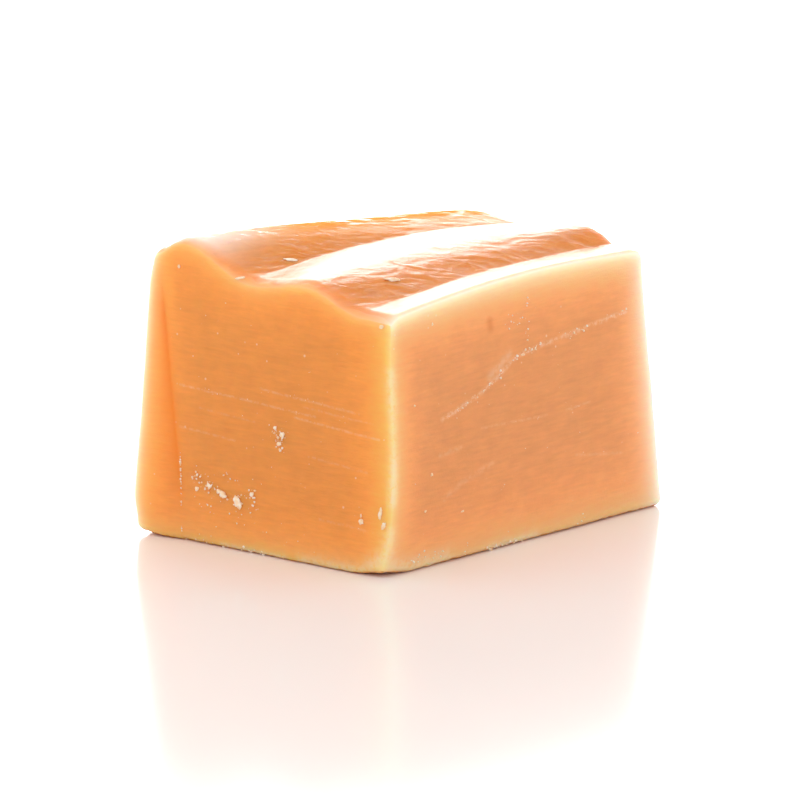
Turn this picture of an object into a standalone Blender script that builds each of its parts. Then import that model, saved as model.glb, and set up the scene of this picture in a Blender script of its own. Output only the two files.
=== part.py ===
"""A piece of fudge, knifed from a slab: four cut faces, a flat base, and a top skin rolled into ridges.

Metres, +Z up. The origin is the middle of the flat base. The ridges run along X. The near end is at -X and
the near side at -Y: those two faces, and the top, are the ones that the piece is usually seen from.
"""

import math

import bmesh
import bpy
from mathutils import Vector, noise

MM = 0.001

# Driving dimensions, at the level of the base and at the lowest corner of the top.
LENGTH = 26.6 * MM
WIDTH = 20.1 * MM
HEIGHT = 16.0 * MM

# The knife leaves each face leaning in towards the top, by this much over the whole height.
LEAN_NEAR_END = 0.5 * MM
LEAN_FAR_END = 1.2 * MM
LEAN_NEAR_SIDE = 0.5 * MM
LEAN_FAR_SIDE = 0.8 * MM

# Soft fudge bellies out under the knife on three of the faces, and is drawn in at the near end. Each of these
# is deepest a third of the way up.
NEAR_SIDE_BELLY = 0.4 * MM
FAR_SIDE_BELLY = 0.3 * MM
FAR_END_BELLY = 0.25 * MM
NEAR_END_HOLLOW = 0.35 * MM
# The share of the near side's belly that is lost by the far end.
BELLY_FADE = 0.7

# Towards the top of the front corner, the near side stands out and the near end is cut back. At the foot of the
# far end, the near side runs out in a small toe. Both fade over the faces, and the toe fades upwards too.
CORNER_OUT = 0.45 * MM
CORNER_BACK = 0.4 * MM
TOE = 0.35 * MM
CORNER_FADE = 4
TOE_RISE = 6

# Rounding of the edges, and the corners that are worn down further: where they are (-1 or 1 along, across and
# up), how deep the wear goes, and how far it reaches.
EDGE_RADIUS = 0.5 * MM
WORN_CORNERS = (
    {"corner": (-1, -1, -1), "depth": 0.45 * MM, "reach": 3.0 * MM},
    {"corner": (-1, 1, -1), "depth": 0.45 * MM, "reach": 2.6 * MM},
    {"corner": (-1, 1, 1), "depth": 0.2 * MM, "reach": 2.0 * MM},
    {"corner": (1, 1, -1), "depth": 0.5 * MM, "reach": 2.6 * MM},
    {"corner": (1, 1, 1), "depth": 0.4 * MM, "reach": 2.4 * MM},
)

# The knife drags the skin of the top down at both ends.
DRAG_NEAR_END = 0.25 * MM
DRAG_FAR_END = 0.1 * MM
DRAG_REACH = 1.1 * MM

# The rolled top. Each line runs along the piece from the near end to the far end. Its place is a share of the
# width, counted from the near side. Its rise is the height over the lowest corner, in MM. Both are given at
# the near end, in the middle and at the far end.
TOP_LINES = (
    {"name": "near edge", "place": (0.0, 0.0, 0.0), "rise": (0.0, 0.8, 0.5)},
    {"name": "near valley", "place": (0.11, 0.13, 0.12), "rise": (0.1, 0.72, 0.62)},
    {"name": "middle ridge", "place": (0.34, 0.38, 0.24), "rise": (1.45, 1.75, 1.55)},
    {"name": "far valley", "place": (0.57, 0.57, 0.52), "rise": (1.0, 1.62, 0.85)},
    {"name": "far ridge", "place": (0.86, 0.77, 0.7), "rise": (2.85, 2.3, 1.2)},
    {"name": "far edge", "place": (1.0, 1.0, 1.0), "rise": (2.1, 1.0, 0.0)},
)

# A ridge has an even slope at the near end, where the knife pressed it. Past ROLL_START it is rolled up
# round: it stands steeply on the valley before it, and its slope eases off towards its crest.
ROLL_START = 6.0 * MM
ROLL_ROUNDNESS = 1.8

# The lip: at the near end a fold runs down from the far top corner, and the fudge beyond it stands out.
LIP_WIDTH_TOP = 0.75 * MM
LIP_WIDTH_BASE = 3.9 * MM
LIP_SLOPE = 0.22
LIP_SOFTNESS = 0.25 * MM

# Low unevenness of the hand-cut faces.
SWELL = 0.07 * MM
SWELL_LENGTH = 7.0 * MM
SWELL_OFFSET = Vector((3.1, 7.7, 1.3))

# The mesh: cells along each axis, of which EDGE_CELLS lie in the rounding at either end.
CELLS = (30, 28, 20)
EDGE_CELLS = 2
# A cell whose corners all lie lower than this is part of the flat base.
BASE_FLATNESS = 0.0001 * MM

FUDGE_COLOUR = (0.76, 0.30, 0.10, 1.0)
FUDGE_ROUGHNESS = 0.5


def clear_scene():
    for old in list(bpy.data.objects):
        bpy.data.objects.remove(old)


def clamped(value, low, high):
    return max(low, min(high, value))


def eased(share):
    """A share from 0 to 1, with a level start and end."""
    share = clamped(share, 0.0, 1.0)
    return share * share * (3.0 - 2.0 * share)


def bent(ends_and_middle, share):
    """The curve through three values, at share 0, a half and 1."""
    first, middle, last = ends_and_middle
    return (
        first * (2 * share * share - 3 * share + 1)
        + middle * 4 * share * (1 - share)
        + last * (2 * share * share - share)
    )


def softly_above(value, softness):
    """The value where it is above 0, and 0 below, with a rounded turn of that size."""
    return 0.5 * (value + math.sqrt(value * value + softness * softness)) - 0.5 * softness


def spaced(share, size, cells):
    """Where a grid line lies along a side, with the lines close together in the rounding at both ends."""
    index = round(share * cells)
    band = EDGE_RADIUS / EDGE_CELLS
    if index <= EDGE_CELLS:
        return index * band
    if index >= cells - EDGE_CELLS:
        return size - (cells - index) * band
    return EDGE_RADIUS + (index - EDGE_CELLS) * (size - 2 * EDGE_RADIUS) / (cells - 2 * EDGE_CELLS)


def rounded(point):
    """A point of the sharp block, moved onto the block with round edges and corners."""
    half = Vector((LENGTH / 2, WIDTH / 2, HEIGHT / 2))
    inner = Vector(clamped(point[i], EDGE_RADIUS - half[i], half[i] - EDGE_RADIUS) for i in range(3))
    return inner + (point - inner).normalized() * EDGE_RADIUS


def climbed(share, along):
    """How much of a ridge's height is reached at a share of the way from the valley to its crest."""
    share = clamped(share, 0.0, 1.0)
    even = eased(share)
    round_share = 1.0 - (1.0 - share) ** ROLL_ROUNDNESS
    return even + (round_share - even) * eased(along * LENGTH / ROLL_START)


def top_rise(along, across):
    """How far the rolled top stands over its lowest corner."""
    lines = [(bent(line["place"], along), bent(line["rise"], along) * MM) for line in TOP_LINES]
    for (place, rise), (next_place, next_rise) in zip(lines, lines[1:]):
        if across <= next_place:
            share = (across - place) / (next_place - place)
            height = climbed(share, along) if next_rise > rise else eased(share)
            return rise + (next_rise - rise) * height
    return lines[-1][1]


def low_belly(up):
    """How far a belly or a hollow is out at a height: 0 at the base and the top, and 1 a third of the way up."""
    return 6.75 * up * (1.0 - up) ** 2


def swollen(place):
    """The low unevenness at a place: three separate stretches of the same fixed noise, one for each axis."""
    spot = place / SWELL_LENGTH
    return Vector(noise.noise(spot + SWELL_OFFSET * (axis + 1)) for axis in range(3)) * SWELL


def worn(point):
    """How far the wear at the nearest corners moves a point of the block inwards."""
    moved = Vector((0.0, 0.0, 0.0))
    for wear in WORN_CORNERS:
        direction = Vector(wear["corner"])
        corner = Vector((LENGTH, WIDTH, HEIGHT)) * 0.5 * direction
        share = 1.0 - (point - corner).length / wear["reach"]
        moved -= direction.normalized() * wear["depth"] * eased(share)
    return moved


def shaped(point):
    """Where a point of the round-edged block goes in the real, hand-cut piece."""
    along = clamped(point.x / LENGTH + 0.5, 0.0, 1.0)
    across = clamped(point.y / WIDTH + 0.5, 0.0, 1.0)
    up = clamped(point.z / HEIGHT + 0.5, 0.0, 1.0)
    belly = low_belly(up)

    x = point.x + up * (LEAN_NEAR_END * (1.0 - along) - LEAN_FAR_END * along)
    y = point.y + up * (LEAN_NEAR_SIDE * (1.0 - across) - LEAN_FAR_SIDE * across)
    z = up * (HEIGHT + top_rise(along, across))

    near_end = (1.0 - along) ** 2
    near_side = (1.0 - across) ** 2
    x += NEAR_END_HOLLOW * belly * near_end * (1.0 - across)
    x += FAR_END_BELLY * belly * along**2 * 4.0 * across * (1.0 - across)
    y -= NEAR_SIDE_BELLY * belly * near_side * (1.0 - BELLY_FADE * along)
    y += FAR_SIDE_BELLY * belly * across**2 * 4.0 * along * (1.0 - along)

    corner = up * ((1.0 - along) * (1.0 - across)) ** CORNER_FADE
    x += CORNER_BACK * corner
    y -= CORNER_OUT * corner
    x += TOE * (along * (1.0 - across)) ** CORNER_FADE * (1.0 - up) ** TOE_RISE

    lip_width = LIP_WIDTH_BASE + (LIP_WIDTH_TOP - LIP_WIDTH_BASE) * up
    beyond_fold = point.y - (WIDTH / 2 - lip_width)
    x -= LIP_SLOPE * softly_above(beyond_fold, LIP_SOFTNESS) * near_end

    z -= up * DRAG_NEAR_END * eased(1.0 - along * LENGTH / DRAG_REACH)
    z -= up * DRAG_FAR_END * eased(1.0 - (1.0 - along) * LENGTH / DRAG_REACH)

    swell = swollen(Vector((x, y, z)))
    swell.z *= up
    return Vector((x, y, z)) + swell + worn(point)


def fudge_material():
    material = bpy.data.materials.new("fudge")
    material.use_nodes = True
    shader = material.node_tree.nodes["Principled BSDF"]
    shader.inputs["Base Color"].default_value = FUDGE_COLOUR
    shader.inputs["Roughness"].default_value = FUDGE_ROUGHNESS
    shader.inputs["Metallic"].default_value = 0.0
    return material


def gridded_cube(mesh):
    """A cube of side 1 round the origin, cut into CELLS along each axis."""
    bmesh.ops.create_cube(mesh, size=1.0)
    for axis, cells in enumerate(CELLS):
        along_axis = [
            edge
            for edge in mesh.edges
            if abs(edge.verts[0].co[axis] - edge.verts[1].co[axis]) > 0.5
        ]
        bmesh.ops.subdivide_edges(mesh, edges=along_axis, cuts=cells - 1, use_grid_fill=True)


def stand_on_origin(mesh):
    """Moves the piece so that the origin is at the middle of its box, at the level of the base."""
    low, high = (Vector(pick(v.co[i] for v in mesh.verts) for i in range(3)) for pick in (min, max))
    middle = (low + high) / 2
    bmesh.ops.translate(mesh, verts=mesh.verts, vec=(-middle.x, -middle.y, -low.z))


def join_base(mesh):
    """Makes one face of all the cells that lie flat on the ground."""
    flat = [face for face in mesh.faces if all(v.co.z < BASE_FLATNESS for v in face.verts)]
    bmesh.ops.dissolve_faces(mesh, faces=flat)


def build_fudge():
    mesh = bmesh.new()
    gridded_cube(mesh)
    size = (LENGTH, WIDTH, HEIGHT)
    for vertex in mesh.verts:
        sharp = Vector(spaced(vertex.co[i] + 0.5, size[i], CELLS[i]) - size[i] / 2 for i in range(3))
        vertex.co = shaped(rounded(sharp))
    stand_on_origin(mesh)
    join_base(mesh)
    bmesh.ops.recalc_face_normals(mesh, faces=mesh.faces)
    data = bpy.data.meshes.new("fudge")
    mesh.to_mesh(data)
    mesh.free()
    data.shade_smooth()
    data.materials.append(fudge_material())
    fudge = bpy.data.objects.new("fudge", data)
    bpy.context.scene.collection.objects.link(fudge)
    return fudge


def main():
    clear_scene()
    build_fudge()


main()
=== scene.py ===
import math
import random

import bmesh
import bpy
from mathutils import Matrix, Vector, noise
from mathutils.bvhtree import BVHTree


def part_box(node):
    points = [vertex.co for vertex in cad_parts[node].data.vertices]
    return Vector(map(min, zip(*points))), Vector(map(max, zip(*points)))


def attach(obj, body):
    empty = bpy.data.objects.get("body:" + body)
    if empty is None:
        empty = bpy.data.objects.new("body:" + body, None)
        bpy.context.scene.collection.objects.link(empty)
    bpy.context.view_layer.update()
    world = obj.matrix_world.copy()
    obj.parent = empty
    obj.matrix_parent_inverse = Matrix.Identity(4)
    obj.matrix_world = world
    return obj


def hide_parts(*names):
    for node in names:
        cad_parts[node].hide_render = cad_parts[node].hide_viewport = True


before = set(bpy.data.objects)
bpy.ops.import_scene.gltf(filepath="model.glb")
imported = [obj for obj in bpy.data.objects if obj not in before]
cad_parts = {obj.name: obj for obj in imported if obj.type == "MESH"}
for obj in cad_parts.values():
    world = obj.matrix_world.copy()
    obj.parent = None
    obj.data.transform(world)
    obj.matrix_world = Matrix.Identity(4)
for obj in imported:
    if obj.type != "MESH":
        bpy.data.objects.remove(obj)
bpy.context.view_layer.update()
mm = 0.001


def clamp(value, low=0.0, high=1.0):
    return max(low, min(high, value))


def ease(share):
    share = clamp(share)
    return share * share * (3.0 - 2.0 * share)


def bend(values, share):
    first, middle, last = values  # at the near end, in the middle and at the far end
    return (
        first * (2 * share * share - 3 * share + 1)
        + middle * 4 * share * (1 - share)
        + last * (2 * share * share - share)
    )


def noiseVector(spot, offset):
    return Vector(noise.noise(spot + offset * (axis + 1)) for axis in range(3))


def towards(azimuth, elevation):
    a, e = math.radians(azimuth), math.radians(elevation)
    return Vector((math.sin(a) * math.cos(e), -math.cos(a) * math.cos(e), math.sin(e)))


def aimAt(thing, place, target):
    thing.location = place
    thing.rotation_mode = "QUATERNION"
    thing.rotation_quaternion = (target - place).to_track_quat("-Z", "Y")


def addObject(name, data):
    thing = bpy.data.objects.new(name, data)
    bpy.context.scene.collection.objects.link(thing)
    return thing


def pieceFrom(mesh, name, material):
    data = bpy.data.meshes.new(name)
    mesh.to_mesh(data)
    mesh.free()
    data.shade_smooth()
    data.materials.append(material)
    return addObject(name, data)


view = {
    "azimuth": -49.1,
    "elevation": 12.5,
    "distance": 0.7,
    "lens": 508.0,
    "sensor": 36.0,
    "clip": (0.01, 10.0),
    "lookAt": Vector((0.0, 0.0, 7.6 * mm)),
}


def makeCamera():
    camera = addObject("camera", bpy.data.cameras.new("camera"))
    camera.data.sensor_width = view["sensor"]
    camera.data.lens = view["lens"]
    camera.data.clip_start, camera.data.clip_end = view["clip"]
    place = view["lookAt"] + towards(view["azimuth"], view["elevation"]) * view["distance"]
    aimAt(camera, place, view["lookAt"])
    bpy.context.scene.camera = camera
    print("camera ready")


def startMaterial(name):
    material = bpy.data.materials.new(name)
    material.use_nodes = True
    tree = material.node_tree
    return material, tree, tree.nodes["Principled BSDF"]


def addNode(tree, kind, inputs=None, **settings):
    node = tree.nodes.new(kind)
    for key, value in settings.items():
        setattr(node, key, value)
    for key, value in (inputs or {}).items():
        if isinstance(value, bpy.types.NodeSocket):
            tree.links.new(value, node.inputs[key])
        else:
            node.inputs[key].default_value = value
    return node


def calc(tree, operation, first, second=0.0, third=0.0):
    return addNode(tree, "ShaderNodeMath", {0: first, 1: second, 2: third}, operation=operation).outputs[0]


# a minimum and a maximum, because nodes that clamp by themselves make the material too large to render
def limited(tree, value):
    return calc(tree, "MINIMUM", calc(tree, "MAXIMUM", value, 0.0), 1.0)


def vectorCalc(tree, operation, first, second=(0, 0, 0), third=(0, 0, 0), output="Vector"):
    inputs = {0: first, 1: second, 2: third}
    return addNode(tree, "ShaderNodeVectorMath", inputs, operation=operation).outputs[output]


def scaled(tree, vector, factor):
    return addNode(tree, "ShaderNodeVectorMath", {0: vector, "Scale": factor}, operation="SCALE").outputs[0]


def remap(tree, value, fromLow, fromHigh, toLow=0.0, toHigh=1.0, smooth=True):
    inputs = {"Value": value, "From Min": fromLow, "From Max": fromHigh, "To Min": toLow, "To Max": toHigh}
    kind = "SMOOTHSTEP" if smooth else "LINEAR"
    return addNode(tree, "ShaderNodeMapRange", inputs, interpolation_type=kind, clamp=False).outputs["Result"]


def mixValue(tree, share, first, second):
    return addNode(tree, "ShaderNodeMix", {"Factor": share, "A": first, "B": second}).outputs[0]


def mixColour(tree, share, first, second):
    inputs = {"Factor": share, "A": first, "B": second}
    return addNode(tree, "ShaderNodeMix", inputs, data_type="RGBA").outputs["Result"]


def inMillimetres(tree, stretch=(1, 1, 1)):
    coordinates = addNode(tree, "ShaderNodeTexCoord").outputs["Object"]
    return vectorCalc(tree, "MULTIPLY", coordinates, [s / mm for s in stretch])


def noiseAt(tree, where, scale, detail=2.0, roughness=0.5, output="Fac"):
    inputs = {"Vector": where, "Scale": scale, "Detail": detail, "Roughness": roughness}
    return addNode(tree, "ShaderNodeTexNoise", inputs).outputs[output]


def warped(tree, where, scale, reach):
    shift = noiseAt(tree, where, scale, output="Color")
    moved = vectorCalc(tree, "MULTIPLY_ADD", shift, (2 * reach,) * 3, where)
    return vectorCalc(tree, "SUBTRACT", moved, (reach,) * 3)


def attribute(tree, name):
    return addNode(tree, "ShaderNodeAttribute", attribute_name=name).outputs["Fac"]


# the same named sizes as the part's own source, so that the dressed block lies on the solid
block = {
    "length": 26.6 * mm,
    "width": 20.1 * mm,
    "height": 16.0 * mm,
    "leanNearEnd": 0.5 * mm,
    "leanFarEnd": 1.2 * mm,
    "leanNearSide": 0.5 * mm,
    "leanFarSide": 0.8 * mm,
    "nearSideBelly": 0.4 * mm,
    "farSideBelly": 0.3 * mm,
    "farEndBelly": 0.25 * mm,
    "nearEndHollow": 0.35 * mm,
    "bellyFade": 0.7,
    "cornerOut": 0.45 * mm,
    "cornerBack": 0.4 * mm,
    "toe": 0.35 * mm,
    "cornerFade": 4,
    "toeRise": 6,
    "edgeRadius": 0.5 * mm,
    "wornCorners": (
        {"corner": (-1, -1, -1), "depth": 0.45 * mm, "reach": 3.0 * mm},
        {"corner": (-1, 1, -1), "depth": 0.45 * mm, "reach": 2.6 * mm},
        {"corner": (-1, 1, 1), "depth": 0.2 * mm, "reach": 2.0 * mm},
        {"corner": (1, 1, -1), "depth": 0.5 * mm, "reach": 2.6 * mm},
        {"corner": (1, 1, 1), "depth": 0.4 * mm, "reach": 2.4 * mm},
    ),
    "dragNearEnd": 0.25 * mm,
    "dragFarEnd": 0.1 * mm,
    "dragReach": 1.1 * mm,
    # lines along the rolled top: share of the width, and mm over the lowest corner
    "topLines": (
        {"name": "near edge", "place": (0.0, 0.0, 0.0), "rise": (0.0, 0.8, 0.5)},
        {"name": "near valley", "place": (0.11, 0.13, 0.12), "rise": (0.1, 0.72, 0.62)},
        {"name": "middle ridge", "place": (0.34, 0.38, 0.24), "rise": (1.45, 1.75, 1.55)},
        {"name": "far valley", "place": (0.57, 0.57, 0.52), "rise": (1.0, 1.62, 0.85)},
        {"name": "far ridge", "place": (0.86, 0.77, 0.7), "rise": (2.85, 2.3, 1.2)},
        {"name": "far edge", "place": (1.0, 1.0, 1.0), "rise": (2.1, 1.0, 0.0)},
    ),
    "rollStart": 6.0 * mm,
    "rollRoundness": 1.8,
    "lipWidthTop": 0.75 * mm,
    "lipWidthBase": 3.9 * mm,
    "lipSlope": 0.22,
    "lipSoftness": 0.25 * mm,
    "swell": 0.07 * mm,
    "swellLength": 7.0 * mm,
    "swellOffset": Vector((3.1, 7.7, 1.3)),
    "cells": (190, 146, 80),
    "edgeCells": 5,
    "baseFlatness": 0.0001 * mm,
}

blockSize = Vector((block["length"], block["width"], block["height"]))


def griddedCube(mesh, cells):
    bmesh.ops.create_cube(mesh, size=1.0)
    for axis, count in enumerate(cells):
        edges = [e for e in mesh.edges if abs(e.verts[0].co[axis] - e.verts[1].co[axis]) > 0.5]
        bmesh.ops.subdivide_edges(mesh, edges=edges, cuts=count - 1, use_grid_fill=True)


def spaced(share, size, cells):
    radius, edgeCells = block["edgeRadius"], block["edgeCells"]
    index = round(share * cells)
    band = radius / edgeCells
    if index <= edgeCells:
        return index * band
    if index >= cells - edgeCells:
        return size - (cells - index) * band
    return radius + (index - edgeCells) * (size - 2 * radius) / (cells - 2 * edgeCells)


def climbed(share, along):
    share = clamp(share)
    roundShare = 1.0 - (1.0 - share) ** block["rollRoundness"]
    return ease(share) + (roundShare - ease(share)) * ease(along * block["length"] / block["rollStart"])


def topRise(along, across):
    lines = [(bend(line["place"], along), bend(line["rise"], along) * mm) for line in block["topLines"]]
    for (place, rise), (nextPlace, nextRise) in zip(lines, lines[1:]):
        if across <= nextPlace:
            share = (across - place) / (nextPlace - place)
            height = climbed(share, along) if nextRise > rise else ease(share)
            return rise + (nextRise - rise) * height
    return lines[-1][1]


def wornBy(point):
    moved = Vector((0.0, 0.0, 0.0))
    for wear in block["wornCorners"]:
        direction = Vector(wear["corner"])
        share = 1.0 - (point - blockSize * 0.5 * direction).length / wear["reach"]
        moved -= direction.normalized() * wear["depth"] * ease(share)
    return moved


def sharesOf(point):
    return [clamp(point[i] / blockSize[i] + 0.5) for i in range(3)]


def beyondFold(point):
    up = sharesOf(point)[2]
    lipWidth = block["lipWidthBase"] + (block["lipWidthTop"] - block["lipWidthBase"]) * up
    return point.y - (block["width"] / 2 - lipWidth)


def handCut(point):
    along, across, up = sharesOf(point)
    belly = 6.75 * up * (1.0 - up) ** 2  # fullest at a third of the height, where it is 1
    x = point.x + up * (block["leanNearEnd"] * (1.0 - along) - block["leanFarEnd"] * along)
    y = point.y + up * (block["leanNearSide"] * (1.0 - across) - block["leanFarSide"] * across)
    z = up * (block["height"] + topRise(along, across))
    nearEnd = (1.0 - along) ** 2
    x += block["nearEndHollow"] * belly * nearEnd * (1.0 - across)
    x += block["farEndBelly"] * belly * along**2 * 4.0 * across * (1.0 - across)
    y -= block["nearSideBelly"] * belly * (1.0 - across) ** 2 * (1.0 - block["bellyFade"] * along)
    y += block["farSideBelly"] * belly * across**2 * 4.0 * along * (1.0 - along)
    corner = up * ((1.0 - along) * (1.0 - across)) ** block["cornerFade"]
    x += block["cornerBack"] * corner
    y -= block["cornerOut"] * corner
    x += block["toe"] * (along * (1.0 - across)) ** block["cornerFade"] * (1.0 - up) ** block["toeRise"]
    beyond, soft = beyondFold(point), block["lipSoftness"]
    x -= block["lipSlope"] * 0.5 * (beyond + math.hypot(beyond, soft) - soft) * nearEnd
    z -= up * block["dragNearEnd"] * ease(1.0 - along * block["length"] / block["dragReach"])
    z -= up * block["dragFarEnd"] * ease(1.0 - (1.0 - along) * block["length"] / block["dragReach"])
    swell = noiseVector(Vector((x, y, z)) / block["swellLength"], block["swellOffset"]) * block["swell"]
    swell.z *= up
    return Vector((x, y, z)) + swell + wornBy(point)


# fine relief: knife grain on the cut faces, a crumbly foot, the groove of the fold, and wrinkles, pleats and
# crazing in the skin; depths, lengths and widths are in mm, and slopes are those of the top across its width
relief = {
    "lumpDepth": 0.025,
    "lumpLength": 1.9,
    "grainDepth": 0.014,
    "grainLength": 7.0,
    "grainPitch": 0.7,
    "footDepth": 0.10,
    "footHeight": 0.5,
    "footLength": 0.55,
    "wrinkleDepth": 0.06,
    "wrinkleLength": 1.5,
    "wrinklePitch": 0.55,
    "wrinkleTurn": math.radians(24),
    "wrinkleWarp": 0.9,
    "wrinkleWarpLength": 2.4,
    "wrinkleMiddle": 0.3,
    "wrinkleLeast": 0.25,
    "smoothSlope": -0.02,
    "wrinkledSlope": 0.25,
    "flankFrom": 0.1,
    "flankFade": 0.2,
    "pleatDepth": 0.045,
    "pleatLength": 5.5,
    "pleatPitch": 1.3,
    "crazeDepth": 0.03,
    "crazeLength": 2.0,
    "crazeWidth": 0.1,
    "crazeWarp": 0.5,
    "crazePatch": 3.1,
    "crazeGain": 2.0,
    "crazeShare": 0.6,
    "crazeSlope": -0.03,
    "crazeFade": 0.08,
    "skinLump": 0.3,
    "foldDepth": 0.08,
    "offset": Vector((11.3, 4.9, 27.1)),
}

# where the shiny skin of the top gives way to the dragged edge
skinEdge = {
    "nearEnd": 0.35 * mm,
    "farEnd": 0.3 * mm,
    "sides": 0.1 * mm,
    "fade": 0.5 * mm,
    "wander": 0.4 * mm,
    "wanderLength": 1.3 * mm,
    "sideWander": 0.3,
    "uprightFrom": 0.35,
    "uprightFade": 0.45,
}

# painted light near the edges: a painted glow where light comes out again near an edge, and near the base for
# light from the floor. For each face and each of its edges: how much brighter the fudge is painted there, how
# many mm that reaches, how white the painted highlight on the edge itself is, and how many mm that reaches
edgeGlow = {
    "nearEnd": {
        "nearSide": (1.0, 1.35, 0.12, 0.5),
        "farSide": (1.25, 1.2, 1.3, 0.36),
        "top": (0.52, 1.1, 0.12, 0.4),
        "base": (0.45, 1.5, 0.1, 0.8),
    },
    "nearSide": {
        "nearEnd": (0.9, 1.3, 0.15, 0.5),
        "farEnd": (1.25, 1.3, 1.5, 0.72),
        "top": (1.3, 1.2, 0.8, 0.5),
        "base": (0.6, 1.9, 0.12, 0.9),
    },
    "farEnd": {
        "nearSide": (0.3, 1.1, 0.3, 0.5),
        "farSide": (0.2, 1.1, 0.25, 0.5),
        "top": (0.2, 1.0, 0.25, 0.5),
        "base": (0.1, 0.5, 0.0, 0.3),
    },
    "farSide": {
        "nearEnd": (0.2, 1.1, 0.25, 0.5),
        "farEnd": (0.2, 1.1, 0.25, 0.5),
        "top": (0.2, 1.0, 0.25, 0.5),
        "base": (0.1, 0.5, 0.0, 0.3),
    },
    "top": {
        "nearEnd": (0.4, 0.8, 0.22, 0.6),
        "farEnd": (0.3, 0.5, 0.3, 0.3),
        "nearSide": (1.1, 0.8, 0.8, 0.7),
        "farSide": (0.25, 0.6, 0.3, 0.4),
    },
    "base": {},
}
glowBlend = 3  # the higher, the more the brighter of two edges wins where they meet

# how far the fold's groove and the painted shade in its crease reach on either side of its line, and over
# which shares of the height they fade in under the top and over the base
fold = {"lipFade": 0.5 * mm, "faceFade": 0.24 * mm, "topShare": (0.97, 0.75), "baseShare": (0.06, 0.3)}

# the ridges carry a painted sheen in places, and the far one's crest is dry: shares of the length and the
# width
paintedSheens = (
    {"span": (0.015, 0.42), "fades": (0.06, 0.395), "crest": 0.85, "half": 0.125, "strength": 0.75},
    {"span": (0.8, 1.05), "fades": (0.3, 0.1), "crest": 0.3, "half": 0.06, "strength": 0.35},
)
dry = {"line": "far ridge", "half": 0.24}

# paler, rougher places, in mm from the middle of the uncut block: scuffs, and painted light, which is the
# painted highlight along the front edge and paler patches of painted light along the base of the near faces
scuffsAndPaintedLight = (
    # painted highlight along the front edge, down to its foot
    {"from": (-13.3, -10.05, 4.8), "to": (-13.3, -10.05, 2.6), "reach": 0.4, "strength": 0.55},
    {"from": (-13.3, -10.05, 2.6), "to": (-13.3, -10.05, -0.4), "reach": 0.36, "strength": 0.4},
    {"from": (-13.3, -10.05, -0.4), "to": (-13.3, -10.05, -3.2), "reach": 0.38, "strength": 0.65},
    {"from": (-13.3, -10.05, -5.2), "to": (-13.2, -9.9, -6.6), "reach": 0.5, "strength": 0.42},
    {"from": (-13.2, -9.9, -6.8), "to": (-13.3, -9.1, -7.4), "reach": 0.75, "strength": 0.42},
    # painted light along the base of the near faces
    {"from": (-12.7, -10.05, -7.5), "to": (-7.5, -10.05, -7.7), "reach": 0.6, "strength": 0.35},
    {"from": (-13.3, -8.5, -7.7), "to": (-13.3, -3.5, -7.9), "reach": 0.45, "strength": 0.35},
    # scuffs
    {"from": (-3.2, -10.05, -7.8), "to": (1.0, -10.05, -7.8), "reach": 0.3, "strength": 0.45},
    {"from": (-13.3, -2.0, -7.9), "to": (-13.3, 3.0, -7.9), "reach": 0.25, "strength": 0.35},
    {"from": (13.3, -4.0, -7.8), "to": (13.3, 3.0, -7.8), "reach": 0.3, "strength": 0.4},
    {"from": (2.0, 10.05, -7.8), "to": (8.0, 10.05, -7.8), "reach": 0.3, "strength": 0.4},
    {"from": (-3.1, -10.05, 2.5), "to": (-1.0, -10.05, 3.5), "reach": 0.25, "strength": 0.25},
    {"from": (13.3, 3.4, -3.2), "to": (13.3, 2.4, -3.5), "reach": 0.6, "strength": 0.3},
    {"from": (-4.6, 10.05, -3.7), "to": (-5.6, 10.05, -3.5), "reach": 0.6, "strength": 0.3},
)


def slopeAt(along, across):
    step = 0.01
    rise = topRise(along, clamp(across + step)) - topRise(along, clamp(across - step))
    return rise / (2 * step * block["width"])


def crinkleAt(slope):
    share = (slope - relief["smoothSlope"]) / (relief["wrinkledSlope"] - relief["smoothSlope"])
    return relief["wrinkleLeast"] + (1.0 - relief["wrinkleLeast"]) * ease(share)


def skinAt(sharp, facing):
    wander = noise.noise(sharp / skinEdge["wanderLength"]) * skinEdge["wander"]
    fromNearEnd = sharp.x + blockSize.x / 2 + wander - skinEdge["nearEnd"]
    fromFarEnd = blockSize.x / 2 - sharp.x + wander - skinEdge["farEnd"]
    fromSides = blockSize.y / 2 - abs(sharp.y) + wander * skinEdge["sideWander"] - skinEdge["sides"]
    nearest = min(fromNearEnd, fromFarEnd, fromSides)
    upright = ease((facing.z - skinEdge["uprightFrom"]) / skinEdge["uprightFade"])
    return upright * ease(nearest / skinEdge["fade"] + 0.5)


def paintedSheenAt(sharp, facing):
    along, across = sharesOf(sharp)[:2]
    strongest = 0.0
    for paintedSheen in paintedSheens:
        (first, last), (fadeIn, fadeOut) = paintedSheen["span"], paintedSheen["fades"]
        start = ease((along - first) / fadeIn + 0.5)
        stop = ease((last - along) / fadeOut)
        gap = (across - paintedSheen["crest"]) / paintedSheen["half"]
        strongest = max(strongest, paintedSheen["strength"] * start * stop * math.exp(-gap * gap))
    return strongest * ease(facing.z)


def dryAt(along, across):
    ridge = next(line for line in block["topLines"] if line["name"] == dry["line"])
    gap = (across - bend(ridge["place"], along)) / dry["half"]
    return math.exp(-gap * gap * gap * gap)


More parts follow.
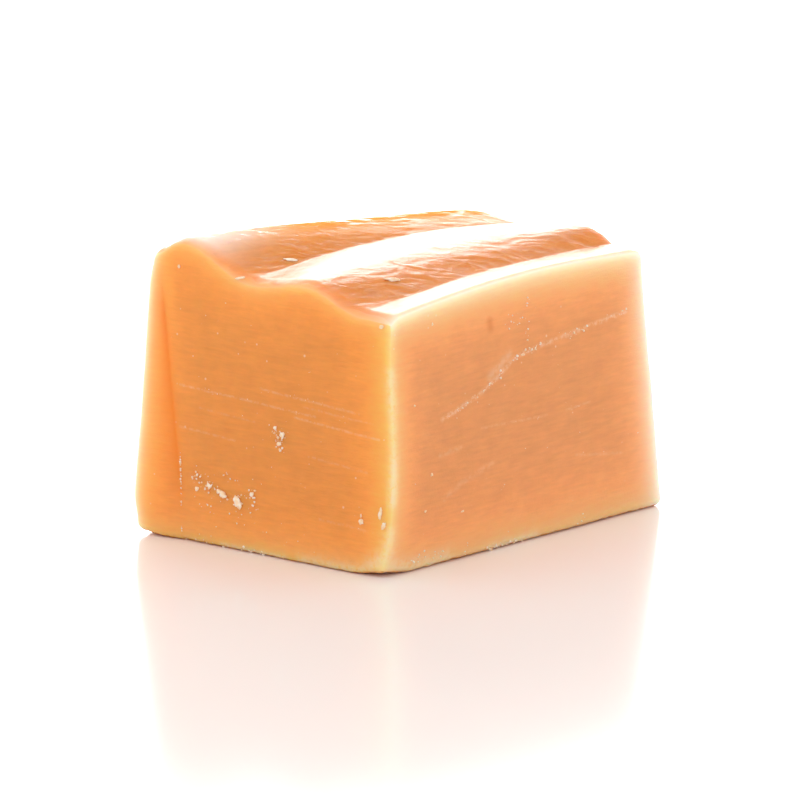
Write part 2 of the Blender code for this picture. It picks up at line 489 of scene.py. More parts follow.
# painted light: the painted glow near the edges and the white of their painted highlight
def glowAt(sharp):
    low, high = sharp + blockSize / 2, blockSize / 2 - sharp
    gaps = {
        "nearEnd": low.x,
        "farEnd": high.x,
        "nearSide": low.y,
        "farSide": high.y,
        "base": low.z,
        "top": high.z,
    }
    face = min(gaps, key=gaps.get)
    gain, plain = 0.0, 1.0
    for edge, (brighter, reach, white, whiteReach) in edgeGlow[face].items():
        gain += (brighter * math.exp(-gaps[edge] / (reach * mm))) ** glowBlend
        plain *= 1.0 - min(1.0, white * math.exp(-gaps[edge] / (whiteReach * mm)))
    return gain ** (1 / glowBlend), 1.0 - plain


# where the fold's groove and the painted shade of its crease lie
def foldAt(sharp, facing):
    beyond = beyondFold(sharp)
    up = sharesOf(sharp)[2]
    fade = fold["lipFade"] if beyond > 0 else fold["faceFade"]
    ends = ease((fold["topShare"][0] - up) / (fold["topShare"][0] - fold["topShare"][1]))
    ends *= ease((up - fold["baseShare"][0]) / (fold["baseShare"][1] - fold["baseShare"][0]))
    return math.exp(-abs(beyond) / fade) * ends * ease(-facing.x)


# scuffs, and the painted highlight and painted light of the front edge and the base
def scuffAndPaintedLightAt(sharp):
    total = 0.0
    spot = sharp / mm
    for scuffAndPaintedLight in scuffsAndPaintedLight:
        start, step = Vector(scuffAndPaintedLight["from"]), Vector(scuffAndPaintedLight["to"]) - Vector(scuffAndPaintedLight["from"])
        share = clamp((spot - start).dot(step) / step.length_squared)
        gap = (spot - start - step * share).length / scuffAndPaintedLight["reach"]
        total = max(total, scuffAndPaintedLight["strength"] * math.exp(-gap * gap))
    return total


def carve(place, marks):
    spot, offset = place / mm, relief["offset"]
    lump = noise.noise(spot / relief["lumpLength"] + offset) * relief["lumpDepth"]
    run, pitch = relief["grainLength"], relief["grainPitch"]
    grainPlace = Vector((spot.x / run, spot.y / run, spot.z / pitch))
    grain = noise.noise(grainPlace + offset * 2) * relief["grainDepth"]
    foot = ease(1.0 - spot.z / relief["footHeight"])
    crumbly = -abs(noise.noise(spot / relief["footLength"] + offset * 3)) * relief["footDepth"] * foot
    groove = -relief["foldDepth"] * marks["fold"]
    warp = noiseVector(spot / relief["wrinkleWarpLength"], offset) * relief["wrinkleWarp"]
    turned = Matrix.Rotation(relief["wrinkleTurn"], 3, "Z") @ (spot + warp)
    wrinklePlace = Vector((turned.x / relief["wrinkleLength"], turned.y / relief["wrinklePitch"], 0.0))
    wrinkle = relief["wrinkleMiddle"] - abs(noise.noise(wrinklePlace + offset * 4))
    pleatPlace = Vector((spot.x / relief["pleatLength"], spot.y / relief["pleatPitch"], 0.0))
    pleat = noise.noise(pleatPlace + offset * 5)
    crazePlace = Vector((spot.x, spot.y, 0.0)) + warp * relief["crazeWarp"]
    vein = abs(noise.noise(crazePlace / relief["crazeLength"] + offset * 6))
    patch = noise.noise(spot / relief["crazePatch"] + offset * 7)
    craze = clamp(1.0 - vein / relief["crazeWidth"])
    craze *= ease(patch * relief["crazeGain"] + relief["crazeShare"]) * marks["craze"]
    cut = lump + grain + crumbly + groove
    rolled = (wrinkle * relief["wrinkleDepth"] + pleat * relief["pleatDepth"]) * marks["crinkle"]
    rolled += relief["skinLump"] * lump
    rolled += craze * relief["crazeDepth"]
    return (cut * (1.0 - marks["skin"]) + rolled * marks["skin"]) * mm


def makeBlock():
    mesh = bmesh.new()
    griddedCube(mesh, block["cells"])
    radius = block["edgeRadius"]
    half = blockSize / 2
    sharps, facings = [], []
    for vertex in mesh.verts:
        places = (spaced(vertex.co[i] + 0.5, blockSize[i], block["cells"][i]) - half[i] for i in range(3))
        sharp = Vector(places)
        inner = Vector(clamp(sharp[i], radius - half[i], half[i] - radius) for i in range(3))
        facing = (sharp - inner).normalized()
        vertex.co = handCut(inner + facing * radius)
        sharps.append(sharp)
        facings.append(facing)
    low, high = (Vector(pick(v.co[i] for v in mesh.verts) for i in range(3)) for pick in (min, max))
    cadLow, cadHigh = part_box("fudge")
    shift = (cadLow + cadHigh) / 2 - (low + high) / 2
    shift.z = cadLow.z - low.z
    bmesh.ops.translate(mesh, verts=mesh.verts, vec=shift)
    print("block shaped, moved by", [round(c / mm, 3) for c in shift], "mm")

    mesh.normal_update()
    names = ("skin", "glow", "pale", "side", "fold", "scuffAndPaintedLight", "crinkle", "flank", "dry")
    layers = {name: mesh.verts.layers.float.new(name) for name in names}
    carved = []
    for vertex, sharp, facing in zip(mesh.verts, sharps, facings):
        along, across, up = sharesOf(sharp)
        slope = slopeAt(along, across)
        glow, pale = glowAt(sharp)
        skin = skinAt(sharp, facing)
        marks = {
            "skin": skin,
            "glow": glow,
            # painted highlight: the white of the edges and the painted sheen on the ridges
            "pale": max(pale, paintedSheenAt(sharp, facing)),
            "side": ease(abs(facing.y)),
            "fold": foldAt(sharp, facing),
            "scuffAndPaintedLight": scuffAndPaintedLightAt(sharp),
            "crinkle": crinkleAt(slope),
            "craze": ease((slope - relief["crazeSlope"]) / relief["crazeFade"]),
            "flank": ease((slope - relief["flankFrom"]) / relief["flankFade"]) * skin,
            "dry": dryAt(along, across) * skin,
        }
        for name, layer in layers.items():
            vertex[layer] = marks[name]
        depth = carve(vertex.co, marks) if vertex.co.z > block["baseFlatness"] else 0.0
        carved.append(vertex.co + vertex.normal * depth)
    for vertex, place in zip(mesh.verts, carved):
        vertex.co = place
    flat = [f for f in mesh.faces if all(v.co.z < block["baseFlatness"] for v in f.verts)]
    bmesh.ops.dissolve_faces(mesh, faces=flat)
    bmesh.ops.recalc_face_normals(mesh, faces=mesh.faces)
    print("block carved:", len(mesh.faces), "faces")
    surface = BVHTree.FromBMesh(mesh)
    piece = pieceFrom(mesh, "fudgeBlock", fudgeMaterial())
    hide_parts("fudge")
    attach(piece, "root")
    return surface


fudgeLook = {
    "end": (0.80, 0.29, 0.045, 1.0),
    # the long sides: the ends' colour with a painted sheen over it, pinker and paler in blue
    "side": (0.785, 0.31, 0.095, 1.0),
    "skin": (0.76, 0.25, 0.045, 1.0),
    # the white of the painted highlights on the edges and of the painted sheen on the ridges
    "white": (1.0, 0.93, 0.84, 1.0),
    # painted shade in the fold's crease: a deeper, more saturated orange
    "fold": (0.88, 0.245, 0.004, 1.0),
    "creaseShadeShare": 0.95,
    "mark": (1.0, 0.78, 0.56, 1.0),
    "nick": (0.72, 0.22, 0.03, 1.0),
    "brightest": 0.99,
    # painted shade: the fudge is painted a little darker towards the base and lighter towards the top
    "baseTone": 0.97,
    "topTone": 1.01,
    "streak": 0.26,
    "mottle": 0.17,
    "dotShare": 0.35,
    "dotSpacing": 0.8,
    "dotRadius": 0.1,
    "dotRoundness": 0.5,
    "dotStrength": 0.6,
    "endRoughness": 0.55,
    "sideRoughness": 0.45,
    "skinRoughness": 0.21,
    "markRoughness": 0.8,
    "glowRadius": (1.0, 0.5, 0.25),
    "glowScale": 1.8 * mm,
    "ior": 1.5,
    "bumpDepth": 0.03 * mm,
    "cutBump": 1.2,
    "speckleBump": 0.4,
    "skinBump": 1.5,
    "loopLength": 5.0,
    "loopLines": 16.0,
    "loopLeast": 0.15,
    "loopBump": 0.22,
    "sheen": 0.5,
    "flankSheen": 0.1,
    "flankShade": 0.1,
    "drySheen": 0.0,
    "patchSheen": 0.3,
    # warps: cells per mm, and how many mm a place moves at most
    "markWarp": (0.8, 0.06),
    "skinWarp": (0.45, 0.9),
    # scale of each pattern along X, Y and Z: the smaller, the longer it is drawn
    "streakStretch": (0.15, 0.15, 1.0),
    "sheenStretch": (0.35, 1.6, 1.0),
    "wrinkleStretch": (0.25, 1.0, 0.5),
    "loopStretch": (0.6, 1.0, 1.0),
    # cells per mm, detail and roughness of each noise
    "streakNoise": (4.5, 3.0, 0.6),
    "mottleNoise": (0.7, 3.0, 0.6),
    "speckleNoise": (8.0, 2.0),
    "brokenNoise": (3.5, 3.0, 0.7),
    "scuffAndPaintedLightNoise": (2.6, 3.0, 0.7),
    "sheenNoise": (1.2, 4.0, 0.65),
    "wrinkleNoise": (2.2, 4.0, 0.65),
    "loopNoise": (0.4, 3.0, 0.6),
    # between which values of its noise each pattern comes in
    "brokenRange": (0.36, 0.62),
    "scuffAndPaintedLightRange": (0.25, 0.58),
    "flankRange": (0.45, 0.64),
    "crestRange": (0.54, 0.7),
    "loopRange": (0.4, 0.58),
}

# lines that the knife left, in mm: across (Y) or along (X) the face, and up
paleMarks = (
    {"face": "nearEnd", "line": ((6.8, 9.75), (1.2, 9.5), (-4.1, 9.25)), "width": 0.13, "strength": 0.2},
    {"face": "nearEnd", "line": ((0.3, 10.4), (-7.5, 9.9)), "width": 0.13, "strength": 0.2},
    {"face": "nearEnd", "line": ((-2.4, 9.0), (-9.1, 8.5)), "width": 0.13, "strength": 0.25},
    {"face": "nearEnd", "line": ((6.8, 7.1), (2.3, 6.85)), "width": 0.12, "strength": 0.18},
    {"face": "nearEnd", "line": ((-3.2, 9.75), (-8.6, 9.4)), "width": 0.12, "strength": 0.12},
    {"face": "nearEnd", "line": ((5.2, 8.5), (0.8, 8.25)), "width": 0.12, "strength": 0.1},
    {"face": "nearEnd", "line": ((-3.6, 6.7), (-8.2, 6.35)), "width": 0.14, "strength": 0.12},
    {"face": "nearEnd", "line": ((-4.6, 3.0), (-8.8, 2.75)), "width": 0.14, "strength": 0.12},
    {"face": "nearSide", "line": ((-3.9, 7.95), (2.4, 7.7)), "width": 0.14, "strength": 0.14},
    {"face": "nearSide", "line": ((4.1, 7.7), (6.6, 7.8)), "width": 0.14, "strength": 0.16},
    {"face": "nearSide", "line": ((5.1, 4.7), (9.5, 4.1)), "width": 0.16, "strength": 0.14},
    {"face": "nearSide", "line": ((-7.9, 6.9), (-6.0, 7.1)), "width": 0.3, "strength": 0.14},
    {"face": "nearSide", "line": ((-7.6, 4.2), (-5.8, 4.9), (-3.0, 5.6)), "width": 0.35, "strength": 0.12},
    {
        "face": "nearSide",
        "line": (
            (-7.6, 9.1),
            (-4.1, 10.0),
            (-2.0, 10.9),
            (-0.4, 11.8),
            (1.9, 12.1),
            (5.9, 12.45),
            (10.4, 12.9),
        ),
        "width": 0.26,
        "strength": 0.36,
    },
    {"face": "nearSide", "line": ((-3.2, 10.35), (-1.6, 11.1), (-0.5, 11.7)), "width": 0.2, "strength": 0.25},
    {"face": "farEnd", "line": ((-6.5, 11.2), (3.5, 10.4)), "width": 0.13, "strength": 0.25},
    {"face": "farEnd", "line": ((-2.0, 6.1), (7.8, 5.2)), "width": 0.16, "strength": 0.25},
    {"face": "farSide", "line": ((-9.0, 10.8), (2.5, 9.6)), "width": 0.14, "strength": 0.25},
    {"face": "farSide", "line": ((1.5, 6.5), (10.5, 5.4)), "width": 0.2, "strength": 0.3},
)
darkMarks = (
    {"face": "nearSide", "line": ((-2.72, 14.35), (-2.66, 14.0)), "width": 0.5, "strength": 0.55},
    {"face": "farSide", "line": ((5.2, 12.9), (5.5, 11.6)), "width": 0.25, "strength": 0.4},
)

# for each face, the axis that it looks along, and which way
faceAxes = {"nearEnd": (0, -1), "farEnd": (0, 1), "nearSide": (1, -1), "farSide": (1, 1), "top": (2, 1)}
farAway = 9.0  # mm, wider than any mark


def markMask(tree, spot, marks):
    total = 0.0
    for face, (axis, way) in faceAxes.items():
        onFace = [mark for mark in marks if mark["face"] == face]
        if not onFace:
            continue
        keep = [0.0 if i == axis else 1.0 for i in range(3)]
        flat = vectorCalc(tree, "MULTIPLY", spot, keep)
        strongest = 0.0
        for mark in onFace:
            points = [Vector((0, run, up) if axis == 0 else (run, 0, up)) for run, up in mark["line"]]
            nearest = farAway
            for start, end in zip(points, points[1:]):
                step = end - start
                fromStart = vectorCalc(tree, "SUBTRACT", flat, start)
                share = vectorCalc(tree, "DOT_PRODUCT", fromStart, step / step.length_squared, output="Value")
                onLine = scaled(tree, step, limited(tree, share))
                gap = vectorCalc(tree, "DISTANCE", fromStart, onLine, output="Value")
                nearest = calc(tree, "MINIMUM", nearest, gap)
            strength = remap(tree, nearest, 0.0, mark["width"], mark["strength"], 0.0)
            strongest = calc(tree, "MAXIMUM", strongest, strength)
        side = addNode(tree, "ShaderNodeSeparateXYZ", {0: spot}).outputs[axis]
        here = calc(tree, "GREATER_THAN", calc(tree, "MULTIPLY", side, way), 0.0)
        total = calc(tree, "MULTIPLY_ADD", strongest, here, total)
    return total


# grains of sugar that are too small to be pieces
def sugarDots(tree, spot):
    look = fudgeLook
    cell = addNode(tree, "ShaderNodeTexVoronoi", {"Vector": spot, "Scale": 1.0 / look["dotSpacing"]})
    chance = addNode(tree, "ShaderNodeSeparateColor", {0: cell.outputs["Color"]})
    radius = calc(tree, "MULTIPLY", chance.outputs[1], look["dotRadius"] / look["dotSpacing"])
    near = limited(tree, calc(tree, "SUBTRACT", 1.0, calc(tree, "DIVIDE", cell.outputs["Distance"], radius)))
    chosen = calc(tree, "LESS_THAN", chance.outputs[0], look["dotShare"])
    return calc(tree, "MULTIPLY", calc(tree, "POWER", near, look["dotRoundness"]), chosen)


def alongWrinkles(tree, spot):
    turn = {"Vector": warped(tree, spot, *fudgeLook["skinWarp"]), "Rotation": (0, 0, relief["wrinkleTurn"])}
    return addNode(tree, "ShaderNodeMapping", turn).outputs[0]


# the flanks of the ridges shine in streaks, and the dry crest in a few patches
def skinSheen(tree, turned):
    look = fudgeLook
    stretched = vectorCalc(tree, "MULTIPLY", turned, look["sheenStretch"])
    streaks = noiseAt(tree, stretched, *look["sheenNoise"])
    flank = remap(tree, streaks, *look["flankRange"], look["flankSheen"], look["sheen"])
    crest = remap(tree, streaks, *look["crestRange"], look["drySheen"], look["patchSheen"])
    level = mixValue(tree, attribute(tree, "flank"), look["sheen"], flank)
    return mixValue(tree, attribute(tree, "dry"), level, crest)


# fine wrinkles along the ridges, and patches of looped lines
def skinRelief(tree, spot, turned):
    look = fudgeLook
    stretched = vectorCalc(tree, "MULTIPLY", turned, look["wrinkleStretch"])
    wrinkle = noiseAt(tree, stretched, *look["wrinkleNoise"])
    stretched = vectorCalc(tree, "MULTIPLY", turned, look["loopStretch"])
    flow = noiseAt(tree, stretched, 1.0 / look["loopLength"], 1.0)
    wave = calc(tree, "SINE", calc(tree, "MULTIPLY", flow, 2 * math.pi * look["loopLines"]))
    patch = noiseAt(tree, spot, *look["loopNoise"])
    patch = remap(tree, patch, *look["loopRange"], look["loopLeast"], 1.0)
    height = calc(tree, "MULTIPLY", calc(tree, "MULTIPLY", wave, patch), look["loopBump"])
    height = calc(tree, "MULTIPLY_ADD", wrinkle, look["skinBump"], height)
    return calc(tree, "MULTIPLY", height, attribute(tree, "crinkle"))


def fudgeMaterial():
    look = fudgeLook
    material, tree, shader = startMaterial("fudge")
    skin, side = attribute(tree, "skin"), attribute(tree, "side")
    spot = inMillimetres(tree)
    wobbly = warped(tree, spot, *look["markWarp"])
    broken = remap(tree, noiseAt(tree, spot, *look["brokenNoise"]), *look["brokenRange"])
    pale = calc(tree, "MULTIPLY", markMask(tree, wobbly, paleMarks), broken)
    dark = markMask(tree, wobbly, darkMarks)
    patchy = remap(tree, noiseAt(tree, spot, *look["scuffAndPaintedLightNoise"]), *look["scuffAndPaintedLightRange"])
    scuffAndPaintedLight = calc(tree, "MULTIPLY", attribute(tree, "scuffAndPaintedLight"), patchy)
    dots = calc(tree, "MULTIPLY", sugarDots(tree, spot), calc(tree, "SUBTRACT", 1.0, skin))
    dots = calc(tree, "MULTIPLY", dots, look["dotStrength"])

    streak = noiseAt(tree, inMillimetres(tree, look["streakStretch"]), *look["streakNoise"])
    mottle = noiseAt(tree, spot, *look["mottleNoise"])
    speckle = noiseAt(tree, spot, *look["speckleNoise"])
    # the long sides take the colour with the painted sheen
    cut = mixColour(tree, side, look["end"], look["side"])
    body = mixColour(tree, skin, cut, look["skin"])
    # painted shade by height, darker towards the base
    high = addNode(tree, "ShaderNodeSeparateXYZ", {0: spot}).outputs[2]
    tone = remap(tree, high, 0.0, block["height"] / mm, look["baseTone"], look["topTone"], smooth=False)
    tone = calc(tree, "MULTIPLY_ADD", calc(tree, "SUBTRACT", streak, 0.5), look["streak"], tone)
    tone = calc(tree, "MULTIPLY_ADD", calc(tree, "SUBTRACT", mottle, 0.5), look["mottle"], tone)
    tone = calc(tree, "MULTIPLY_ADD", attribute(tree, "flank"), -look["flankShade"], tone)
    # painted glow: the fudge is painted brighter near its edges, where light comes out again, and near the
    # base
    tone = calc(tree, "MULTIPLY", tone, calc(tree, "ADD", attribute(tree, "glow"), 1.0))
    body = scaled(tree, body, tone)
    body = vectorCalc(tree, "MINIMUM", body, (look["brightest"],) * 3)
    # painted shade in the fold's crease
    paintedCreaseShade = calc(tree, "MULTIPLY", attribute(tree, "fold"), look["creaseShadeShare"])
    body = mixColour(tree, paintedCreaseShade, body, look["fold"])
    # painted highlights: the white edges and the painted sheen on the ridges
    body = mixColour(tree, attribute(tree, "pale"), body, look["white"])
    # paler for the scuffs, the painted highlight and painted light, and the sugar dots
    body = mixColour(tree, calc(tree, "MAXIMUM", scuffAndPaintedLight, dots), body, look["mark"])
    body = mixColour(tree, pale, body, look["mark"])
    body = mixColour(tree, dark, body, look["nick"])
    tree.links.new(body, shader.inputs["Base Color"])

    rough = mixValue(tree, side, look["endRoughness"], look["sideRoughness"])
    rough = mixValue(tree, skin, rough, look["skinRoughness"])
    rough = mixValue(tree, calc(tree, "MAXIMUM", pale, scuffAndPaintedLight), rough, look["markRoughness"])
    tree.links.new(rough, shader.inputs["Roughness"])

    cutHeight = calc(tree, "MULTIPLY_ADD", speckle, look["speckleBump"], streak)
    cutHeight = calc(tree, "MULTIPLY", cutHeight, look["cutBump"])
    turned = alongWrinkles(tree, spot)
    tree.links.new(skinSheen(tree, turned), shader.inputs["Specular IOR Level"])
    height = mixValue(tree, skin, cutHeight, skinRelief(tree, spot, turned))
    bump = addNode(tree, "ShaderNodeBump", {"Height": height, "Strength": 1.0, "Distance": look["bumpDepth"]})
    tree.links.new(bump.outputs["Normal"], shader.inputs["Normal"])
    shader.inputs["Subsurface Weight"].default_value = 1.0
    shader.inputs["Subsurface Radius"].default_value = look["glowRadius"]
    shader.inputs["Subsurface Scale"].default_value = look["glowScale"]
    shader.inputs["IOR"].default_value = look["ior"]
    return material


# sugar crumbs, in mm: clusters and rows of grains on the faces, and single flakes. Their places are given as
# those of the knife's lines are, and on the top along X and Y. Grains are given by their radius
crumbs = {
    "seed": 41,
    "sink": 0.35,  # share of a crumb's thickness that is in the fudge
    "lowest": 0.06,
    "fewLarge": 1.7,  # the higher, the rarer the large grains
    "height": (0.6, 1.0),  # of a grain, as shares of its width
    "thickness": (0.5, 0.9),
    "lumpiness": 0.55,
    "lumpScale": 1.3,
    "ragged": 0.08,
    "colours": ((0.95, 0.66, 0.38, 1.0), (0.97, 0.85, 0.70, 1.0)),
    "tintNoise": (3.0, 2.0),
    "tintRange": (0.35, 0.65),
    "roughness": 0.5,
    "bumpNoise": (9.0, 2.0),
    "bumpStrength": 0.6,
    "bumpDepth": 0.02 * mm,
    "clusters": (
        {"face": "nearEnd", "at": (5.4, 4.2), "spread": (0.3, 0.3), "count": 12, "size": (0.04, 0.13)},
        {"face": "nearEnd", "at": (4.7, 3.9), "spread": (0.3, 0.2), "count": 10, "size": (0.04, 0.12)},
        {"face": "nearEnd", "at": (4.1, 3.6), "spread": (0.3, 0.15), "count": 10, "size": (0.05, 0.14)},
        {"face": "nearEnd", "at": (3.2, 3.35), "spread": (0.25, 0.15), "count": 8, "size": (0.05, 0.15)},
        {"face": "nearEnd", "at": (2.0, 3.1), "spread": (0.25, 0.3), "count": 10, "size": (0.05, 0.14)},
        {"face": "nearEnd", "at": (0.9, 3.5), "spread": (0.3, 0.5), "count": 14, "size": (0.03, 0.1)},
        {"face": "nearEnd", "at": (2.7, 4.6), "spread": (0.3, 0.3), "count": 5, "size": (0.04, 0.1)},
        {"face": "nearEnd", "at": (1.9, 2.0), "spread": (0.4, 0.3), "count": 5, "size": (0.03, 0.08)},
        {"face": "nearEnd", "at": (4.4, 2.7), "spread": (0.3, 0.2), "count": 5, "size": (0.03, 0.08)},
        {"face": "nearEnd", "at": (3.4, 3.3), "spread": (1.5, 0.8), "count": 26, "size": (0.02, 0.06)},
        {"face": "nearEnd", "at": (-1.2, 7.5), "spread": (0.25, 0.4), "count": 18, "size": (0.03, 0.12)},
        {"face": "nearEnd", "at": (-1.1, 7.6), "spread": (0.5, 0.6), "count": 12, "size": (0.02, 0.05)},
        {"face": "nearEnd", "at": (-2.5, 1.5), "spread": (2.5, 0.8), "count": 14, "size": (0.02, 0.05)},
        {"face": "nearEnd", "at": (1.5, 0.15), "spread": (2.2, 0.08), "count": 22, "size": (0.03, 0.1)},
        {"face": "nearSide", "at": (-0.9, 14.2), "spread": (0.15, 0.3), "count": 4, "size": (0.03, 0.09)},
        {"face": "nearSide", "at": (0.9, 15.1), "spread": (0.15, 0.3), "count": 4, "size": (0.03, 0.09)},
        {"face": "nearSide", "at": (0.1, 13.9), "spread": (0.5, 0.1), "count": 9, "size": (0.03, 0.08)},
        {"face": "nearSide", "at": (0.8, 12.9), "spread": (0.15, 0.2), "count": 5, "size": (0.03, 0.1)},
        {"face": "nearSide", "at": (-10.2, 0.9), "spread": (0.5, 0.25), "count": 9, "size": (0.04, 0.1)},
        {"face": "nearSide", "at": (-8.3, 0.7), "spread": (0.4, 0.2), "count": 7, "size": (0.04, 0.1)},
        {"face": "nearSide", "at": (-5.4, 0.8), "spread": (0.2, 0.2), "count": 5, "size": (0.04, 0.09)},
        {"face": "nearSide", "at": (-1.3, 0.25), "spread": (1.3, 0.12), "count": 30, "size": (0.04, 0.12)},
        {"face": "nearSide", "at": (5.8, 0.5), "spread": (0.3, 0.2), "count": 5, "size": (0.03, 0.08)},
        {"face": "nearSide", "at": (1.0, 6.0), "spread": (6.5, 4.5), "count": 40, "size": (0.015, 0.045)},
        {"face": "nearEnd", "at": (-1.0, 8.0), "spread": (4.5, 4.5), "count": 30, "size": (0.015, 0.045)},
        {"face": "farEnd", "at": (3.0, 5.0), "spread": (0.7, 0.5), "count": 24, "size": (0.03, 0.14)},
        {"face": "farEnd", "at": (-4.0, 9.5), "spread": (0.5, 0.4), "count": 12, "size": (0.03, 0.1)},
        {"face": "farEnd", "at": (0.0, 0.2), "spread": (3.5, 0.12), "count": 24, "size": (0.03, 0.1)},
        {"face": "farSide", "at": (-5.0, 4.5), "spread": (0.8, 0.5), "count": 24, "size": (0.03, 0.14)},
        {"face": "farSide", "at": (6.0, 9.5), "spread": (0.5, 0.6), "count": 14, "size": (0.03, 0.1)},
        {"face": "farSide", "at": (3.0, 0.2), "spread": (4.0, 0.12), "count": 26, "size": (0.03, 0.1)},
    ),
    "rows": (
        {
            "face": "nearSide",
            "line": ((-7.6, 9.1), (-4.1, 10.0), (-2.0, 10.9)),
            "perMm": 6,
            "size": (0.02, 0.09),
        },
        {"face": "nearSide", "line": ((-2.0, 10.9), (-0.4, 11.8)), "perMm": 9, "size": (0.02, 0.1)},
        {"face": "nearSide", "line": ((-0.4, 11.8), (1.9, 12.1)), "perMm": 9, "size": (0.03, 0.12)},
        {
            "face": "nearSide",
            "line": ((1.9, 12.1), (5.9, 12.45), (10.4, 12.9)),
            "perMm": 5,
            "size": (0.02, 0.1),
        },
        {"face": "nearSide", "line": ((4.1, 7.7), (6.6, 7.8)), "perMm": 3, "size": (0.02, 0.08)},
        {"face": "nearSide", "line": ((-3.9, 7.95), (2.4, 7.7)), "perMm": 1, "size": (0.015, 0.04)},
        {"face": "nearEnd", "line": ((6.6, 9.7), (-4.1, 9.25)), "perMm": 1.5, "size": (0.015, 0.04)},
        {"face": "nearEnd", "line": ((0.3, 10.4), (-7.5, 9.9)), "perMm": 1.5, "size": (0.015, 0.04)},
        {"face": "nearEnd", "line": ((6.75, 5.6), (6.4, 0.6)), "perMm": 8, "size": (0.03, 0.09)},
        {"face": "farSide", "line": ((1.5, 6.5), (10.5, 5.4)), "perMm": 5, "size": (0.02, 0.07)},
        {"face": "farEnd", "line": ((-2.0, 6.1), (7.8, 5.2)), "perMm": 4, "size": (0.02, 0.06)},
    ),
    "rowWidth": 0.12,
    "gapScale": 0.9,
    "gapBelow": -0.175,
    # width, height and thickness of each flake, and how it is turned on its face
    "flakes": (
        {"face": "nearEnd", "at": (2.05, 3.1), "size": (0.5, 0.66, 0.3), "turn": 20},
        {"face": "nearEnd", "at": (1.85, 2.85), "size": (0.35, 0.4, 0.2), "turn": -30},
        {"face": "nearEnd", "at": (3.2, 3.35), "size": (0.5, 0.42, 0.25), "turn": -25},
        {"face": "nearEnd", "at": (3.55, 3.5), "size": (0.3, 0.25, 0.18), "turn": -10},
        {"face": "nearEnd", "at": (4.35, 3.75), "size": (0.4, 0.22, 0.18), "turn": -30},
        {"face": "nearEnd", "at": (5.3, 3.4), "size": (0.28, 0.3, 0.15), "turn": 0},
        {"face": "nearEnd", "at": (0.9, 3.7), "size": (0.26, 0.3, 0.15), "turn": 0},
        {"face": "nearEnd", "at": (-9.35, 3.95), "size": (0.26, 0.75, 0.12), "turn": -6},
        {"face": "nearEnd", "at": (-9.65, 3.3), "size": (0.3, 0.5, 0.12), "turn": -28},
        {"face": "nearEnd", "at": (-7.9, 3.3), "size": (0.36, 0.34, 0.15), "turn": 0},
        {"face": "nearEnd", "at": (-7.85, 3.65), "size": (0.1, 0.25, 0.08), "turn": 0},
        {"face": "nearEnd", "at": (-9.1, 15.5), "size": (0.28, 0.24, 0.12), "turn": 0},
        {"face": "nearEnd", "at": (7.0, 17.1), "size": (0.22, 0.2, 0.12), "turn": 0},
        {"face": "nearEnd", "at": (-1.45, 7.75), "size": (0.36, 0.34, 0.16), "turn": 30},
        {"face": "nearEnd", "at": (-1.2, 7.15), "size": (0.34, 0.24, 0.14), "turn": 0},
        {"face": "nearEnd", "at": (-0.9, 8.1), "size": (0.22, 0.26, 0.12), "turn": 15},
        {"face": "nearSide", "at": (-8.8, 5.9), "size": (0.2, 0.2, 0.12), "turn": 0},
        {"face": "nearSide", "at": (-10.2, 10.4), "size": (0.14, 0.14, 0.08), "turn": 0},
        {"face": "nearSide", "at": (-8.2, 15.1), "size": (0.14, 0.2, 0.08), "turn": 0},
        {"face": "nearSide", "at": (-9.4, 3.7), "size": (0.2, 0.14, 0.08), "turn": 0},
        {"face": "nearSide", "at": (-5.9, 3.1), "size": (0.3, 0.12, 0.08), "turn": 12},
        {"face": "top", "at": (-7.1, -5.5), "size": (0.95, 0.34, 0.22), "turn": -28},
        {"face": "top", "at": (-8.25, 1.76), "size": (0.85, 0.3, 0.12), "turn": -28},
        {"face": "top", "at": (-12.3, 2.3), "size": (0.55, 0.2, 0.1), "turn": -60},
        {"face": "farEnd", "at": (3.3, 4.8), "size": (0.4, 0.45, 0.25), "turn": 30},
        {"face": "farSide", "at": (-4.6, 4.3), "size": (0.45, 0.35, 0.25), "turn": -20},
    ),
}


def onFace(surface, face, run, rise):
    axis, way = faceAxes[face]
    start = Vector({0: (0, run, rise), 1: (run, 0, rise), 2: (run, rise, 0)}[axis]) * mm
    start[axis] = way * blockSize.length
    direction = Vector((0, 0, 0))
    direction[axis] = -way
    return surface.ray_cast(start, direction)[:2]  # the place and the way that the surface faces there


def addCrumb(mesh, dice, place, normal, size, turn=None, subdivisions=1):
    across, high, thick = (s * 0.5 * mm for s in size)
    spin = dice.uniform(0, 360) if turn is None else turn
    lying = abs(normal.z) > 0.7
    upright = Vector((0, 1, 0)) if lying else Vector((0, 0, 1))
    right = upright.cross(normal).normalized()
    basis = Matrix((right, normal.cross(right), normal)).transposed()
    tilt = Matrix.Rotation(math.radians(spin), 3, "Z")
    shape = basis @ tilt @ Matrix.Diagonal((across, high, thick))
    centre = place + normal * thick * (1.0 - 2.0 * crumbs["sink"])
    made = bmesh.ops.create_icosphere(mesh, subdivisions=subdivisions, radius=1.0)
    offset = Vector(dice.uniform(0, 50) for _ in range(3))  # another part of the noise for each crumb
    for vertex in made["verts"]:
        lump = 1.0 + crumbs["lumpiness"] * noise.noise(vertex.co * crumbs["lumpScale"] + offset)
        lump += dice.uniform(-crumbs["ragged"], crumbs["ragged"])
        vertex.co = centre + shape @ (vertex.co * lump)


